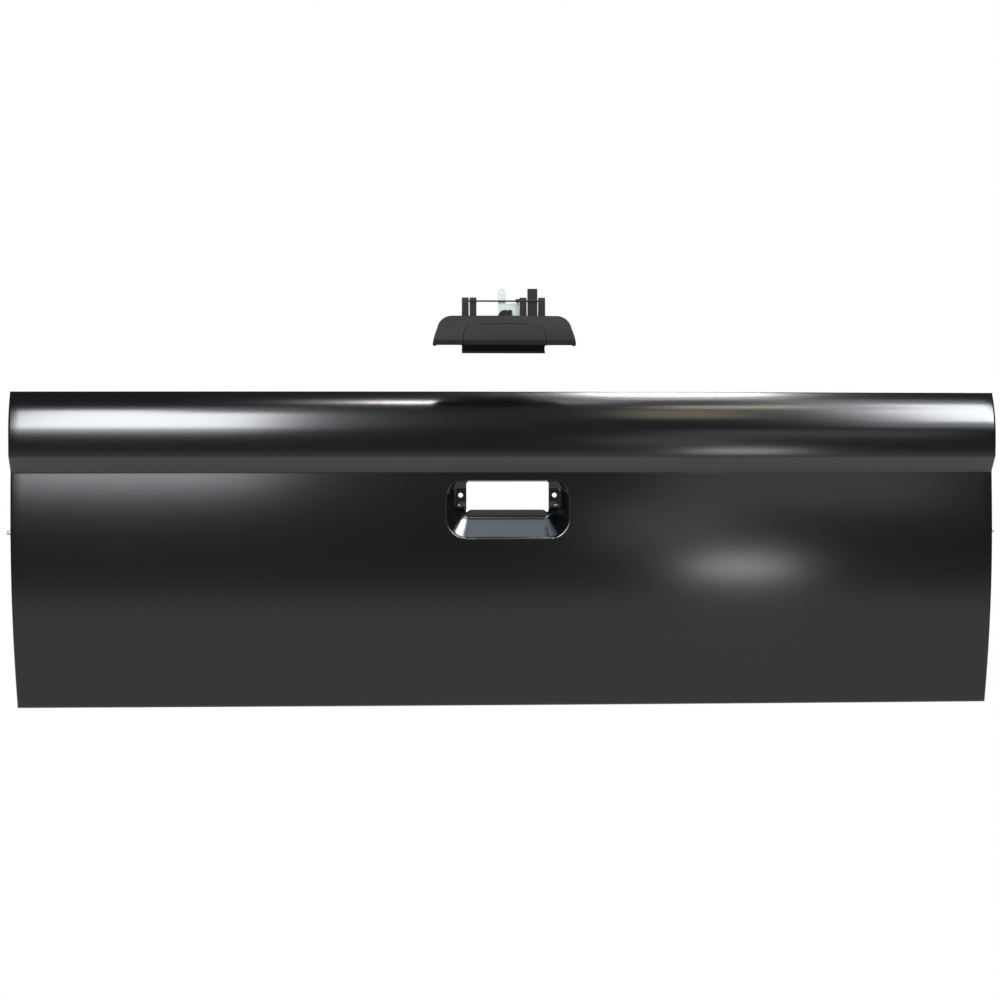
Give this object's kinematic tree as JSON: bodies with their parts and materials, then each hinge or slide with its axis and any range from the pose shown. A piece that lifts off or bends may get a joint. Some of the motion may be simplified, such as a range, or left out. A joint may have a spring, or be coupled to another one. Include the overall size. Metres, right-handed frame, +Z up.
{
  "type": "pickup truck tailgate with its outside handle taken off",
  "caption": "Black steel pickup tailgate with a rolled top edge, a stepped face and a drawn handle recess, and its pull handle held above it.",
  "frame": {"origin": "middle of the bottom flange's flat lower face, where the hinges bolt on", "axes": "+X to the right seen from behind the truck, +Z up, outer painted face towards -Y"},
  "size_m": [1.436, 0.1565, 0.5929],
  "materials": {
    "black_primer": "semi-gloss black primer",
    "bare_primer": "thin black dip primer",
    "handle_plastic": "satin moulded black",
    "spring_steel": "drawn wire",
    "zinc_plate": "pale zinc plating",
    "clip_plastic": "black nylon"
  },
  "bodies": {
    "tailgate": {"outer_panel": "black_primer", "inner_panel": "black_primer", "handle_reinforcement": "bare_primer", "top_reinforcement": "bare_primer", "latch_reinforcement_left": "bare_primer", "strap_stud_left": "zinc_plate", "strap_nut_left": "zinc_plate", "hinge_reinforcement_left": "bare_primer", "hinge_nut_left_outer": "zinc_plate", "hinge_nut_left_inner": "zinc_plate", "latch_reinforcement_right": "bare_primer", "strap_stud_right": "zinc_plate", "strap_nut_right": "zinc_plate", "hinge_reinforcement_right": "bare_primer", "hinge_nut_right_outer": "zinc_plate", "hinge_nut_right_inner": "zinc_plate", "handle_bezel": "handle_plastic", "handle_shaft": "spring_steel", "fixing_tab": "zinc_plate", "rod_clip": "clip_plastic", "handle_spring": "spring_steel", "handle_stud_left": "zinc_plate", "handle_stud_right": "zinc_plate"},
    "paddle": {"handle_paddle": "handle_plastic"}
  },
  "joints": [
    {"name": "paddle_pull", "type": "hinge", "parent": "tailgate", "child": "paddle", "pos_m": [-0.0106, -0.1095, 0.5747], "axis": [-1, 0, 0], "range_deg": [0, 24], "stiffness_Nm_per_rad": 0.6, "springref_deg": -22.92}
  ]
}
